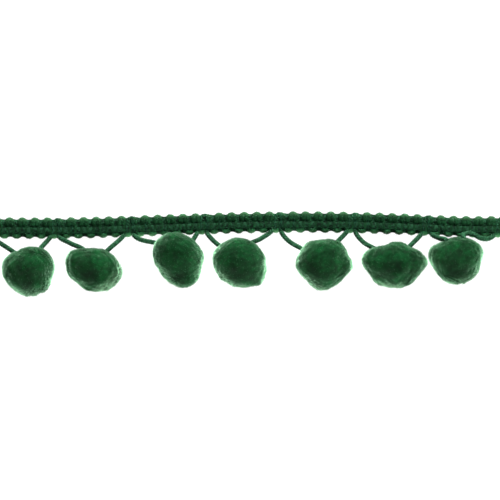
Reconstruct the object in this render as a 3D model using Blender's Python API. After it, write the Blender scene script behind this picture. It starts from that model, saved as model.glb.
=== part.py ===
"""Pompom fringe trim, lying face up: a narrow gimp braid, a thin cord that is knitted up into it
at every junction and hangs in loops between them, and a cut-pile pompom on each loop.

+X runs along the trim, +Y across it from the pompoms to the braid, and +Z up off the table.
Sizes are in millimetres and MM turns them into metres.
"""

import math
from collections import namedtuple

import bmesh
import bpy
import numpy as np
from mathutils import Euler, Vector

MM = 0.001

# ---------------------------------------------------------------- driving sizes

CLEARANCE = 0.3  # between any two pieces

BRAID_LENGTH = 155.8
JUNCTION_PITCH = 21.36  # from one junction of cord and braid to the next
FIRST_JUNCTION = -75.79
BUMPS_PER_JUNCTION = 6
BUMP_PITCH = JUNCTION_PITCH / BUMPS_PER_JUNCTION
BUMP_PHASE = 1.3  # the first top bump's centre, right of its junction
COLUMNS_PER_BUMP = 4
BUMP_ROUNDNESS = 0.6  # 1 is a plain wave, and less is a fuller turn with a sharper notch
HALF_WIDTH = 2.42  # the braid's, at the notches between bumps
BUMP_REACH = 0.52

CORD_DIAMETER = 1.05
CORD_RADIUS = CORD_DIAMETER / 2
CORD_IN_BRAID = 1.35  # height of the cord's axis where it crosses the braid
CORD_STEP = 1.2  # spacing of the points along a cord
FINE_STEP = CORD_STEP / 3  # spacing at which its curve is measured
CORD_BEVEL = 2
FOOT_INSET = 0.6  # of the points at which the legs bend, from the braid's lower edge
TURN_INSET = 0.95  # of the cord's axis where it turns, from the braid's upper edge

CORE_SHARE = 0.8  # of the pompom's radius, where its locks are rooted
LOCK_GAP = 0.35
LOCK_UNEVENNESS = 0.12
LOCK_WAVES = 1.5
TIP_CORNER = 0.985  # shares of the radius at a lock's domed tip, which bulges between its edges
TIP_EDGE = 1.005
TIP_MIDDLE = 1.025
LUMP = 0.02
LUMP_WAVES = 4.0
FLAT_DEPTH = 0.35  # how far a pompom's underside is pressed flat by the table
SOCKET_DEPTH = 1.9
SOCKET_MOUTH = 1.15  # radius to which the pile parts round the cord
SOCKET_SIDES = 10
WELD = 0.001

# The braid's middle line, as (along, across).
Spine = namedtuple("Spine", "x y")
SPINE = [
    Spine(-77.5, 7.45),
    Spine(-62.0, 7.30),
    Spine(-48.0, 7.38),
    Spine(-32.0, 7.85),
    Spine(-14.0, 8.48),
    Spine(2.0, 8.93),
    Spine(16.0, 9.07),
    Spine(31.0, 8.93),
    Spine(45.0, 8.50),
    Spine(62.0, 7.75),
    Spine(77.5, 7.70),
]

# The braid's section from its top edge to its bottom edge. "across" is a share of the width
# from the middle line, "rib" how far the weft's turns stand up and "edge" which edge's turns.
Row = namedtuple("Row", "across height rib edge")
SECTION = [
    Row(1.00, 0.75, 0.00, "top"),
    Row(0.86, 1.65, 0.20, "top"),
    Row(0.45, 1.95, 0.25, "top"),
    Row(0.10, 1.50, 0.00, "top"),
    Row(-0.16, 1.85, 0.10, "bottom"),
    Row(-0.55, 1.80, 0.20, "bottom"),
    Row(-0.86, 1.50, 0.20, "bottom"),
    Row(-1.00, 0.75, 0.00, "bottom"),
]

# The pompoms. "tall" is half the height before the table flattens it. The outline seen from
# above is a circle with an oval, an egg, a square and a five-cornered share added, each with
# the angle of its peak. The cords go in at the angles left and right, that far below the middle.
Pompom = namedtuple(
    "Pompom",
    "x y radius tall oval oval_at egg egg_at square square_at five five_at"
    " left left_dip right right_dip spin",
)
POMPOMS = [
    Pompom(-61.8, -4.8, 7.20, 6.9, 0.035, 16, 0.044, 51, 0.003, 81, 0.010, 25, 129, 20, 63, 22, 10),
    Pompom(-43.1, -4.3, 7.02, 6.6, 0.145, 163, 0.042, 34, 0.038, 67, 0.009, 69, 119, 20, 54, 22, 47),
    Pompom(-18.6, -1.5, 7.39, 6.9, 0.107, 121, 0.044, 35, 0.025, 19, 0.018, 10, 143, 22, 53, 36, 83),
    Pompom(-1.0, -2.6, 7.41, 7.1, 0.073, 146, 0.025, 60, 0.018, 51, 0.009, 34, 140, 26, 61, 24, 125),
    Pompom(23.0, -2.7, 7.46, 7.0, 0.042, 3, 0.017, 31, 0.019, 79, 0.021, 54, 146, 20, 58, 30, 166),
    Pompom(43.4, -3.2, 7.44, 6.7, 0.164, 179, 0.033, 33, 0.039, 85, 0.047, 12, 140, 20, 51, 22, 208),
    Pompom(61.4, -1.7, 7.07, 6.9, 0.063, 15, 0.061, 36, 0.005, 63, 0.022, 26, 119, -12, 75, -14, 251),
]

# The cord's hairpins. Each leg has the places, as (x, y, height), that it passes between its
# pompom and the braid. The feet are where it bends inside the braid's lower edge, the tops where
# it turns under the upper edge. A missing leg is cut off in the braid.
Hairpin = namedtuple("Hairpin", "left_way left_foot left_top right_top right_foot right_way")
HAIRPINS = [
    Hairpin(None, None, -75.5, -74.3, -74.2, [(-69.9, 2.9, 2.6)]),
    Hairpin([], -55.4, -54.4, -52.8, -53.6, [(-50.0, 3.1, 2.7)]),
    Hairpin([], -34.1, -33.2, -31.5, -31.9, [(-29.9, 4.2, 2.5)]),
    Hairpin([], -13.1, -12.1, -10.4, -10.8, [(-9.0, 4.1, 2.5)]),
    Hairpin([(5.0, 4.4, 2.6)], 8.6, 9.6, 11.2, 10.6, [(12.8, 3.9, 2.5)]),
    Hairpin([], 30.3, 31.5, 33.1, 32.1, [(34.4, 3.5, 2.5)]),
    Hairpin([], 51.7, 52.6, 54.4, 54.0, [(56.2, 4.6, 3.6)]),
    Hairpin(
        [(63.2, 5.6, 6.0), (65.9, 5.8, 3.5), (68.2, 4.6, 2.4), (70.0, 4.3, 1.7), (71.4, 4.7, 1.5)],
        72.6,
        73.9,
        75.0,
        None,
        None,
    ),
]

# ---------------------------------------------------------------- scene and materials


def clear_scene():
    for obj in list(bpy.data.objects):
        bpy.data.objects.remove(obj)


def new_collection(name, hidden=False):
    collection = bpy.data.collections.new(name)
    bpy.context.scene.collection.children.link(collection)
    collection.hide_render = hidden
    return collection


def new_material(name, colour, roughness):
    material = bpy.data.materials.new(name)
    material.use_nodes = True
    shader = material.node_tree.nodes["Principled BSDF"]
    shader.inputs["Base Color"].default_value = (*colour, 1.0)
    shader.inputs["Roughness"].default_value = roughness
    shader.inputs["Metallic"].default_value = 0.0
    material.diffuse_color = (*colour, 1.0)
    return material


def new_object(name, mesh, collection, material=None):
    obj = bpy.data.objects.new(name, mesh)
    collection.objects.link(obj)
    if material:
        mesh.materials.append(material)
    return obj


def mesh_from(bm, name):
    bmesh.ops.recalc_face_normals(bm, faces=bm.faces)
    mesh = bpy.data.meshes.new(name)
    bm.to_mesh(mesh)
    bm.free()
    return mesh


def make_cutter(obj):
    obj.hide_render = True
    obj.display_type = "WIRE"


def cut(obj, cutter):
    modifier = obj.modifiers.new("cut " + cutter.name, "BOOLEAN")
    modifier.operation = "DIFFERENCE"
    modifier.solver = "EXACT"
    modifier.object = cutter


# ---------------------------------------------------------------- curves


def between(t, start, end, leaving, arriving):
    """The place at t, from 0 to 1, on a cubic curve with these slopes at its two ends."""
    near = (1 + 2 * t) * (1 - t) ** 2 * start + t * (1 - t) ** 2 * leaving
    far = t**2 * (3 - 2 * t) * end + t**2 * (t - 1) * arriving
    return near + far


def wave(place, seed):
    """A smooth uneven shift, of up to about 1 each way."""
    return Vector(
        (
            math.sin(1.9 * place.y + 0.7 * place.z + seed),
            math.sin(2.1 * place.z + 0.6 * place.x + 1.7 * seed),
            math.sin(1.8 * place.x + 0.8 * place.y + 2.3 * seed),
        )
    )


# ---------------------------------------------------------------- braid


def spine_y(x):
    """The braid's middle line: a smooth curve through SPINE."""
    xs = np.array([place.x for place in SPINE])
    ys = np.array([place.y for place in SPINE])
    slopes = np.gradient(ys, xs)
    i = int(np.clip(np.searchsorted(xs, x) - 1, 0, len(xs) - 2))
    span = xs[i + 1] - xs[i]
    t = (x - xs[i]) / span
    return float(between(t, ys[i], ys[i + 1], span * slopes[i], span * slopes[i + 1]))


def bump(x, edge):
    """How far one turn of the weft has swelled at x: 0 in the notches and 1 at its crown."""
    phase = FIRST_JUNCTION + BUMP_PHASE + (BUMP_PITCH / 2 if edge == "bottom" else 0.0)
    return abs(math.cos(math.pi * (x - phase) / BUMP_PITCH)) ** BUMP_ROUNDNESS


def braid_edge(x, edge):
    reach = HALF_WIDTH + BUMP_REACH * bump(x, edge)
    return spine_y(x) + (reach if edge == "top" else -reach)


def braid_mesh():
    """A ribbed, scalloped band with a flat underside, drawn over a grid."""
    columns = round(BRAID_LENGTH / BUMP_PITCH * COLUMNS_PER_BUMP)
    rows = len(SECTION) - 1
    # Whole columns are set from a notch, so that each notch and crown falls on one of them.
    column_step = BUMP_PITCH / COLUMNS_PER_BUMP
    first = FIRST_JUNCTION + BUMP_PHASE
    first -= column_step * round((first + BRAID_LENGTH / 2) / column_step)
    bm = bmesh.new()
    bmesh.ops.create_grid(bm, x_segments=columns, y_segments=rows, size=0.5)
    for vert in bm.verts:
        row = SECTION[rows - round((vert.co.y + 0.5) * rows)]
        x = first + column_step * round((vert.co.x + 0.5) * columns)
        reach = braid_edge(x, row.edge) - spine_y(x)
        y = spine_y(x) + abs(row.across) * reach
        vert.co = Vector((x, y, row.height + row.rib * (bump(x, row.edge) - 0.5))) * MM
    lower = bmesh.ops.extrude_face_region(bm, geom=bm.faces[:])["geom"]
    for vert in lower:
        if isinstance(vert, bmesh.types.BMVert):
            vert.co.z = 0.0
    return mesh_from(bm, "braid")


# ---------------------------------------------------------------- pompoms


def turned(angle, dip):
    """The direction at an angle round +Z, that far below the horizontal, both in degrees."""
    level = math.cos(math.radians(dip))
    return Vector(
        (
            level * math.cos(math.radians(angle)),
            level * math.sin(math.radians(angle)),
            -math.sin(math.radians(dip)),
        )
    )


def pompom_centre(pompom):
    return Vector((pompom.x, pompom.y, pompom.tall - FLAT_DEPTH))


def pompom_surface(pompom, direction):
    """The tip of the pile in a direction, from the pompom's centre."""
    angle = math.atan2(direction.y, direction.x)
    level = math.hypot(direction.x, direction.y)
    shapes = (
        (2, pompom.oval, pompom.oval_at),
        (3, pompom.egg, pompom.egg_at),
        (4, pompom.square, pompom.square_at),
        (5, pompom.five, pompom.five_at),
    )
    share = 1.0
    for count, amount, peak in shapes:
        share += amount * level**count * math.cos(count * (angle - math.radians(peak)))
    share += LUMP * wave(direction * LUMP_WAVES, pompom.spin).x
    reach = direction * pompom.radius * share
    reach.z *= pompom.tall / pompom.radius
    return reach


def set_share(verts, share):
    """Puts verts at a share of the way out from the centre of a unit ball."""
    for vert in verts:
        vert.co = vert.co.normalized() * share


def only_verts(elements):
    return [element for element in elements if isinstance(element, bmesh.types.BMVert)]


def lock_ball(spin, radius):
    """A unit ball of thirty four-sided locks that stand apart but for their roots."""
    bm = bmesh.new()
    bmesh.ops.create_icosphere(bm, subdivisions=1, radius=1.0)
    seams = bm.edges[:]
    bmesh.ops.poke(bm, faces=bm.faces[:])
    bmesh.ops.dissolve_edges(bm, edges=seams, use_verts=False)
    turn = Euler((math.radians(spin), math.radians(2 * spin), 0.0))
    for vert in bm.verts:
        vert.co.rotate(turn)
        vert.co.normalize()
        vert.co += LOCK_UNEVENNESS * wave(vert.co * LOCK_WAVES, spin)
    set_share(bm.verts, 1.0)
    bm.normal_update()
    locks = bm.faces[:]
    half_gap = LOCK_GAP / (2 * CORE_SHARE * radius)
    bmesh.ops.inset_individual(bm, faces=locks, thickness=half_gap, use_even_offset=True)
    set_share(bm.verts, CORE_SHARE)
    tips = bmesh.ops.extrude_discrete_faces(bm, faces=locks)["faces"]
    set_share([vert for tip in tips for vert in tip.verts], TIP_CORNER)
    rims = [edge for tip in tips for edge in tip.edges]
    split = bmesh.ops.bisect_edges(bm, edges=rims, cuts=1)["geom_split"]
    set_share(only_verts(split), TIP_EDGE)
    middles = bmesh.ops.poke(bm, faces=tips)["verts"]
    set_share(middles, TIP_MIDDLE)
    return bm


def pompom_mesh(pompom, name):
    bm = lock_ball(pompom.spin, pompom.radius)
    height = pompom_centre(pompom).z
    for vert in bm.verts:
        place = pompom_surface(pompom, vert.co.normalized()) * vert.co.length
        place.z = max(place.z, -height)
        vert.co = place * MM
    return mesh_from(bm, name)


# ---------------------------------------------------------------- cord


def smooth_route(points):
    """A smooth curve through the points, read off at even steps."""
    ends = [points[0] * 2 - points[1], *points, points[-1] * 2 - points[-2]]
    places = []
    for a, b, c, d in zip(ends, ends[1:], ends[2:], ends[3:]):
        reach = (c - b).length
        leaving = (c - a).normalized() * reach
        arriving = (d - b).normalized() * reach
        pieces = max(2, round(reach / FINE_STEP))
        places += [between(k / pieces, b, c, leaving, arriving) for k in range(pieces)]
    places.append(points[-1])
    gone = np.cumsum([0.0] + [(b - a).length for a, b in zip(places, places[1:])])
    count = round(gone[-1] / CORD_STEP) + 1
    marks = np.linspace(0.0, gone[-1], count)
    flat = np.array([tuple(place) for place in places])
    columns = [np.interp(marks, gone, flat[:, axis]) for axis in range(3)]
    return [Vector(place) for place in zip(*columns)]


def socket(pompom, angle, dip):
    """The mouth and the inner end of a cord's way into the pile."""
    out = pompom_surface(pompom, turned(angle, dip))
    mouth = pompom_centre(pompom) + out
    return mouth, mouth - out.normalized() * SOCKET_DEPTH


def foot(x):
    return Vector((x, spine_y(x) - HALF_WIDTH + FOOT_INSET, CORD_IN_BRAID))


def turn_top(x):
    return Vector((x, spine_y(x) + HALF_WIDTH - TURN_INSET, CORD_IN_BRAID))


def hairpin_points(number, hairpin):
    """The cord's axis from the pompom on its left, up through the braid, to the one on its right."""
    left, right = [], []
    if hairpin.left_way is not None:
        pompom = POMPOMS[number - 1]
        way = [*(Vector(place) for place in hairpin.left_way), foot(hairpin.left_foot)]
        mouth, inner = socket(pompom, pompom.right, pompom.right_dip)
        left = [inner, mouth, *way]
    if hairpin.right_way is not None:
        pompom = POMPOMS[number]
        way = [foot(hairpin.right_foot), *(Vector(place) for place in hairpin.right_way)]
        mouth, inner = socket(pompom, pompom.left, pompom.left_dip)
        right = [*way, mouth, inner]
    crown = (turn_top(hairpin.left_top) + turn_top(hairpin.right_top)) / 2
    crown.y += CORD_RADIUS
    tops = [turn_top(hairpin.left_top), crown, turn_top(hairpin.right_top)]
    return left + tops + right


def tube(name, points, radius, collection):
    """A closed round tube along the points, with flat ends."""
    curve = bpy.data.curves.new(name, "CURVE")
    curve.dimensions = "3D"
    curve.bevel_depth = radius * MM
    curve.bevel_resolution = CORD_BEVEL
    curve.use_fill_caps = True
    spline = curve.splines.new("POLY")
    spline.points.add(len(points) - 1)
    for point, place in zip(spline.points, points):
        point.co = (*(place * MM), 1.0)
    obj = bpy.data.objects.new(name, curve)
    collection.objects.link(obj)
    return obj


def tube_mesh(name, points, radius, collection):
    """The same tube as a welded mesh, which can cut."""
    guide = tube(name + "_guide", points, radius, collection)
    bpy.context.view_layer.update()
    graph = bpy.context.evaluated_depsgraph_get()
    mesh = bpy.data.meshes.new_from_object(guide.evaluated_get(graph))
    bm = bmesh.new()
    bm.from_mesh(mesh)
    bmesh.ops.remove_doubles(bm, verts=bm.verts, dist=WELD * MM)
    bmesh.ops.recalc_face_normals(bm, faces=bm.faces)
    bm.to_mesh(mesh)
    bm.free()
    obj = new_object(name, mesh, collection)
    obj.matrix_world = guide.matrix_world
    bpy.data.objects.remove(guide)
    make_cutter(obj)
    return obj


def socket_cutter(name, mouth, inner, collection):
    """A cone that clears the cord at its inner end and parts the pile round its mouth."""
    axis = (mouth - inner).normalized()
    base = inner - axis * CLEARANCE
    depth = 2 * SOCKET_DEPTH + CLEARANCE
    narrow = CORD_RADIUS + CLEARANCE
    wide = narrow + (SOCKET_MOUTH - narrow) * depth / SOCKET_DEPTH
    bm = bmesh.new()
    bmesh.ops.create_cone(
        bm,
        cap_ends=True,
        segments=SOCKET_SIDES,
        radius1=narrow * MM,
        radius2=wide * MM,
        depth=depth * MM,
    )
    obj = new_object(name, mesh_from(bm, name), collection)
    obj.rotation_euler = axis.to_track_quat("Z", "Y").to_euler()
    obj.location = (base + axis * depth / 2) * MM
    make_cutter(obj)
    return obj


# ---------------------------------------------------------------- assembly


def build():
    clear_scene()
    trim = new_collection("pompom fringe trim")
    cutters = new_collection("cutters", hidden=True)
    braid_green = new_material("gimp braid, dark green", (0.012, 0.065, 0.027), 0.8)
    cord_green = new_material("gimp cord, dark green", (0.014, 0.085, 0.036), 0.75)
    pile_green = new_material("cut pile, bottle green", (0.010, 0.095, 0.032), 0.95)

    braid = new_object("braid", braid_mesh(), trim, braid_green)
    balls = []
    for number, pompom in enumerate(POMPOMS, start=1):
        name = f"pompom_{number}"
        ball = new_object(name, pompom_mesh(pompom, name), trim, pile_green)
        ball.location = pompom_centre(pompom) * MM
        balls.append(ball)

    for number, hairpin in enumerate(HAIRPINS):
        points = hairpin_points(number, hairpin)
        route = smooth_route(points)
        cord = tube(f"cord_loop_{number}", route, CORD_RADIUS, trim)
        cord.data.materials.append(cord_green)
        groove = tube_mesh(f"groove_{number}", route, CORD_RADIUS + CLEARANCE, cutters)
        cut(braid, groove)
        if hairpin.left_way is not None:
            cutter = socket_cutter(f"socket_{number}_left", points[1], points[0], cutters)
            cut(balls[number - 1], cutter)
        if hairpin.right_way is not None:
            cutter = socket_cutter(f"socket_{number}_right", points[-2], points[-1], cutters)
            cut(balls[number], cutter)


build()
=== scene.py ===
"""The looks of a pompom fringe trim: yarns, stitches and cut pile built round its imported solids.

Sizes are in millimetres and MM turns them into metres. +X runs along the trim, +Y across it from
the pompoms to the braid, and +Z up off the table.
"""

import math
from collections import namedtuple

import bmesh
import bpy
import numpy as np
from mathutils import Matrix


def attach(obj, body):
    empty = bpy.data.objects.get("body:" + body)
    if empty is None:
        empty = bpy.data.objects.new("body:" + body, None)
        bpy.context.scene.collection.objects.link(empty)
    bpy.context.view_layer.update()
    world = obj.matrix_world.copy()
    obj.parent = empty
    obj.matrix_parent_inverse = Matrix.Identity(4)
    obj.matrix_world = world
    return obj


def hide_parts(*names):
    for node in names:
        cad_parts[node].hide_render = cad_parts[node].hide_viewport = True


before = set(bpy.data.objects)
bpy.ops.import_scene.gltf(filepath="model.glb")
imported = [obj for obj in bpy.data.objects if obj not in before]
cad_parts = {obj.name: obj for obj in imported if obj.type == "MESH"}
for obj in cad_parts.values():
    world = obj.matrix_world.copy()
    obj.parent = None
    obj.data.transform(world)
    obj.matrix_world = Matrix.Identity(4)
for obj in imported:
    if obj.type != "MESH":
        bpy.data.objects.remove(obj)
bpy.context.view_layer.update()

MM = 0.001
ROOT = "root"

# ---------------------------------------------------------------- sizes shared with the solids

JUNCTION_PITCH = 21.36  # from one junction of cord and braid to the next
FIRST_JUNCTION = -75.79
JUNCTIONS = 8
BUMPS_PER_JUNCTION = 6
BUMP_PITCH = JUNCTION_PITCH / BUMPS_PER_JUNCTION
BUMP_PHASE = 1.3  # the first top bump's centre, right of its junction
BUMP_ROUNDNESS = 0.6  # 1 is a plain wave, and less is a fuller turn with a sharper notch
BRAID_LEFT = -77.79
BRAID_RIGHT = 77.96
HALF_WIDTH = 2.42  # the braid's, at the notches between bumps
CORD_RADIUS = 0.525
FOOT_INSET = 0.6  # of the points at which a cord's legs bend, from the braid's lower edge
LUMP = 0.02
LUMP_WAVES = 4.0
LUMP_ACROSS = 1.9  # shares of those waves along y and z
LUMP_UP = 0.7
FLAT_DEPTH = 0.35  # how far a pompom's underside is pressed flat by the table
SOCKET_DEPTH = 1.9  # of a cord's end in the pile

# The braid's middle line, as (along, across).
Spine = namedtuple("Spine", "x y")
SPINE = [
    Spine(-77.5, 7.45),
    Spine(-62.0, 7.30),
    Spine(-48.0, 7.38),
    Spine(-32.0, 7.85),
    Spine(-14.0, 8.48),
    Spine(2.0, 8.93),
    Spine(16.0, 9.07),
    Spine(31.0, 8.93),
    Spine(45.0, 8.50),
    Spine(62.0, 7.75),
    Spine(77.5, 7.70),
]

# The pompoms. "tall" is half the height before the table flattens it. The outline seen from
# above is a circle with an oval, an egg, a square and a five-cornered share added, each with
# the angle of its peak. The cords go in at the angles left and right, that far below the middle.
# "spin" keeps one pompom's unevenness unlike another's.
Pompom = namedtuple(
    "Pompom",
    "x y radius tall oval oval_at egg egg_at square square_at five five_at"
    " left left_dip right right_dip spin",
)
POMPOMS = [
    Pompom(-61.8, -4.8, 7.20, 6.9, 0.035, 16, 0.044, 51, 0.003, 81, 0.010, 25, 129, 20, 63, 22, 10),
    Pompom(-43.1, -4.3, 7.02, 6.6, 0.145, 163, 0.042, 34, 0.038, 67, 0.009, 69, 119, 20, 54, 22, 47),
    Pompom(-18.6, -1.5, 7.39, 6.9, 0.107, 121, 0.044, 35, 0.025, 19, 0.018, 10, 143, 22, 53, 36, 83),
    Pompom(-1.0, -2.6, 7.41, 7.1, 0.073, 146, 0.025, 60, 0.018, 51, 0.009, 34, 140, 26, 61, 24, 125),
    Pompom(23.0, -2.7, 7.46, 7.0, 0.042, 3, 0.017, 31, 0.019, 79, 0.021, 54, 146, 20, 58, 30, 166),
    Pompom(43.4, -3.2, 7.44, 6.7, 0.164, 179, 0.033, 33, 0.039, 85, 0.047, 12, 140, 20, 51, 22, 208),
    Pompom(61.4, -1.7, 7.07, 6.9, 0.063, 15, 0.061, 36, 0.005, 63, 0.022, 26, 119, -12, 75, -14, 251),
]

# The cord's hairpins. Each leg has the places, as (x, y, height), that it passes between its
# pompom and the braid. A missing leg is cut off in the braid.
Hairpin = namedtuple("Hairpin", "left_way left_foot left_top right_top right_foot right_way")
HAIRPINS = [
    Hairpin(None, None, -75.5, -74.3, -74.2, [(-69.9, 2.9, 2.6)]),
    Hairpin([], -55.4, -54.4, -52.8, -53.6, [(-50.0, 3.1, 2.7)]),
    Hairpin([], -34.1, -33.2, -31.5, -31.9, [(-29.9, 4.2, 2.5)]),
    Hairpin([], -13.1, -12.1, -10.4, -10.8, [(-9.0, 4.1, 2.5)]),
    Hairpin([(5.0, 4.4, 2.6)], 8.6, 9.6, 11.2, 10.6, [(12.8, 3.9, 2.5)]),
    Hairpin([], 30.3, 31.5, 33.1, 32.1, [(34.4, 3.5, 2.5)]),
    Hairpin([], 51.7, 52.6, 54.4, 54.0, [(56.2, 4.6, 3.6)]),
    Hairpin(
        [(63.2, 5.6, 6.0), (65.9, 5.8, 3.5), (68.2, 4.6, 2.4), (70.0, 4.3, 1.7), (71.4, 4.7, 1.5)],
        72.6,
        73.9,
        75.0,
        None,
        None,
    ),
]

# ---------------------------------------------------------------- sizes of the pile

# Its fibres lie over one another like velvet's, each at its own slant. Depths and rises are
# shares of the way out from a pompom's centre.
FIBRES = 32000  # on each pompom, before those in a cord's way are left out
FIBRE_SCATTER = 0.006  # from an even spread
FIBRE_ROOT = 0.945
FIBRE_TIP = 1.004
FIBRE_UNEVENNESS = 0.012
FIBRE_WIDTH = 0.17
FIBRE_WIDTHS = (0.75, 1.25)  # shares of it
FIBRE_LIE = 0.75  # how far a tip lies along the surface
FIBRE_LIES = (0.5, 1.2)  # shares of it
COMBED = 0.9  # how much of the lie is shared by neighbours
SLANT_UNEVENNESS = 0.11
BODY = 0.968  # the dense pile under the fibres
BALL_SUBDIVISIONS = 5  # of the fine ball from which it is drawn out
LEAST_BODY = 0.25  # heights off the table
LEAST_ROOT = 0.15
LEAST_TIPS = (0.02, 0.12)
DENT_RISE = 0.012
TUFT_RISE = 0.008
PARTING_WIDTH = 0.10
PARTING_DEPTH = 0.020
CORD_PARTING = 0.62  # fibres with their tips nearer than this to a cord's axis are left out
CORD_SKIP = 3  # every third point of the axis is measured for that
FACING_STEP = 0.01  # between the directions that tell which way the pile faces
ASKEW = (0.3, 0.5, 0.8)  # a direction in which no fibre stands

# Stray fibres, which stick out of the rest.
STRAY_SHARE = 0.020  # of all
STRAY_LENGTH = 0.05
STRAY_LIE = 1.3  # shares of the others'
STRAY_WIDTH = 0.7

# Each pompom's loose side, where more of them are astray, the outline is ragged and the pile is paler:
# partly frayed pile, partly painted light on the rim.
FRAYED_AT = (-78, -42, -125, -118, -105, -90, -80)  # the angle of its middle
FRAYED_DIP = 15  # of that below the horizontal
FRAYED_GAIN = 1.8  # what the cosine of the angle from it is multiplied by
FRAYED_LOSS = 0.7  # and what is then taken off
FRAYED_MEAN = 0.6  # of its patches, and how far they swing each way
FRAYED_SWING = 0.5
FRAYED_SHARE = 0.30  # of the fibres there are astray, besides STRAY_SHARE
FRAY_RISE = 0.025

# Painted shade: the side of each pompom on which the pile's colour is darkened in patches.
PAINTED_SHADE_SIDE = (-0.15, -0.38, 0.91)
PAINTED_SHADE_FROM = 0.74  # cosines of the angles from it between which the painted shade comes in
PAINTED_SHADE_TO = 0.96
PAINTED_SHADE_MEAN = 0.8
PAINTED_SHADE_SWING = 0.45

# Uneven fields over a pompom: about how many waves go round the ball, and what keeps the seed
# of each field's waves apart from the others'.
Field = namedtuple("Field", "waves seed")
PARTINGS = Field(3.2, 10)
COMBS = Field(4.5, 20)
DENTS = Field(5.0, 70)
TUFTS = Field(14.0, 90)
FRAYED_PATCHES = Field(4.0, 120)
FRAYS = Field(28.0, 130)
PAINTED_SHADE_PATCHES = Field(3.0, 150)
FIELD_WAVES = 9  # added up in each field
SPIN_SEED = 10  # between the seeds of two neighbouring spins
AXIS_SEED = 5  # and of two axes of an uneven vector

# What the materials read from the pile's fields, from 0 to 1.
FIBRE_OWN = (0.25, 1.0)  # each fibre's own shade
PARTING_SHADE = 0.25  # taken off it in the partings, as painted shade
BODY_OWN = 0.5
BODY_OUTWARD = 0.4
STRAY_FRAYED = 0.25  # how frayed a stray fibre looks even away from the loose side
LAID_FRAYED = 0.5  # how much of that side's fraying shows on the fibres that aren't astray

# Places where the pile's outline swells or is drawn in, with the angle and its width in degrees.
# "rise" is a share of the radius.
Swell = namedtuple("Swell", "pompom angle width rise")
SWELLS = [
    Swell(1, 8, 16, 0.055),
    Swell(1, 195, 12, -0.060),
    Swell(1, 315, 14, 0.065),
    Swell(2, 4, 16, 0.035),
    Swell(2, 45, 14, -0.060),
    Swell(2, 328, 16, 0.035),
    Swell(2, 135, 10, -0.045),
    Swell(2, 268, 20, -0.035),
    Swell(3, 153, 14, 0.045),
    Swell(3, 287, 12, -0.055),
    Swell(4, 5, 16, 0.050),
    Swell(4, 316, 12, 0.050),
    Swell(4, 345, 12, 0.045),
    Swell(5, 0, 12, 0.090),
    Swell(5, 303, 14, 0.035),
    Swell(5, 222, 12, -0.050),
    Swell(6, 0, 10, 0.055),
    Swell(6, 168, 14, 0.060),
    Swell(6, 240, 9, -0.050),
    Swell(6, 292, 10, -0.040),
    Swell(7, 12, 14, -0.030),
    Swell(7, 156, 7, 0.060),
    Swell(7, 175, 30, 0.045),
    Swell(7, 255, 14, -0.035),
]

# ---------------------------------------------------------------- sizes of the yarns

# "flat" is a yarn's height as a share of its width, "groove" the depth between two plies as a
# share of the radius, and "lay" the length in which a ply goes once round.
Yarn = namedtuple("Yarn", "radius flat plies groove lay sides")
WEFT = Yarn(0.95, 0.78, 7, 0.07, 3.4, 14)
STITCH = Yarn(0.12, 1.0, 2, 0.1, 0.8, 6)
TIE = Yarn(0.09, 1.0, 2, 0.1, 0.7, 6)
CORD = Yarn(0.72, 1.0, 3, 0.18, 2.3, 18)  # over its plies, a little thicker than the plain cord
WEFT_STEP = 0.16  # spacing of the points along each
STITCH_STEP = 0.22
CORD_STEP = 0.13

# The weft's turns. Right of each junction there is a narrow one at the top edge, beside the
# hairpin, and then five fat ones.
NARROW_TURN = 1.50
NARROW_SPREAD = 0.45  # shares of a fat turn's
NARROW_RADIUS = 0.70
FAT_FIRST = 4.62
FAT_PITCH = 3.64
FAT_TURNS = 5
BOTTOM_FIRST = 3.20

# The first half of a turn at each edge, from the middle of the braid out to the turn's crown.
# "along" is from the crown, "across" from the braid's middle line. The weft dips under the two
# rows of stitches.
Turn = namedtuple("Turn", "along across height")
TOP_TURN = [
    Turn(0.86, 0.50, 0.80),
    Turn(0.66, 1.00, 1.10),
    Turn(0.58, 1.45, 1.16),
    Turn(0.44, 2.10, 1.02),
    Turn(0.00, 2.32, 0.95),
]
BOTTOM_TURN = [
    Turn(0.89, -0.10, 1.00),
    Turn(0.87, -0.80, 1.04),
    Turn(0.80, -1.38, 0.93),
    Turn(0.52, -1.86, 0.92),
    Turn(0.00, -2.04, 0.88),
]

# Where the weft is pale, measured from the braid's middle line: rubbed fibres, and at the bottom edge
# partly painted light.
RUBBED_FROM = 2.0
RUBBED_OVER = 0.9
TOP_WEAR_AND_LIGHT = 0.38  # the top turns' share of the bottom ones' paleness, whose extra is painted light

# Painted light and shade on the weft across the braid, as a share of its own colour.
Shade = namedtuple("Shade", "across share")
WEFT_SHADES = [
    Shade(-1.70, 2.00),
    Shade(-1.30, 1.45),
    Shade(-0.50, 0.80),
    Shade(0.20, 0.75),
    Shade(0.60, 1.20),
    Shade(1.10, 1.10),
    Shade(1.60, 0.90),
]

# The two rows of chain stitches, from the braid's middle line. The two threads of a row swing
# past one another.
StitchRow = namedtuple("StitchRow", "across height")
STITCH_ROWS = [StitchRow(0.50, 1.42), StitchRow(-1.38, 1.56)]
STITCH_SWING = 0.16
STITCH_LIFT = 0.10
STITCH_INSET = 0.15  # from the braid's ends

# The fine pale threads that bind the cord in, right of each junction. They arch over the weft
# and dip with it at the top row of stitches.
TIES = (-0.6, 0.9, 1.4, 4.9)
TIE_MARGIN = 0.5  # from the braid's ends, where there are none
TIE_SPAN = (-2.3, 2.5)
TIE_POINTS = 12
TIE_HEIGHT = 1.95
TIE_ARCH = 0.11
TIE_DIP = 0.30
TIE_DIP_AT = 0.5
TIE_DIP_WIDTH = 0.3
TIE_WANDER = 0.12  # each way along the braid
TIE_BOB = 0.10  # each way up and down
TIE_SEED = 5

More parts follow.
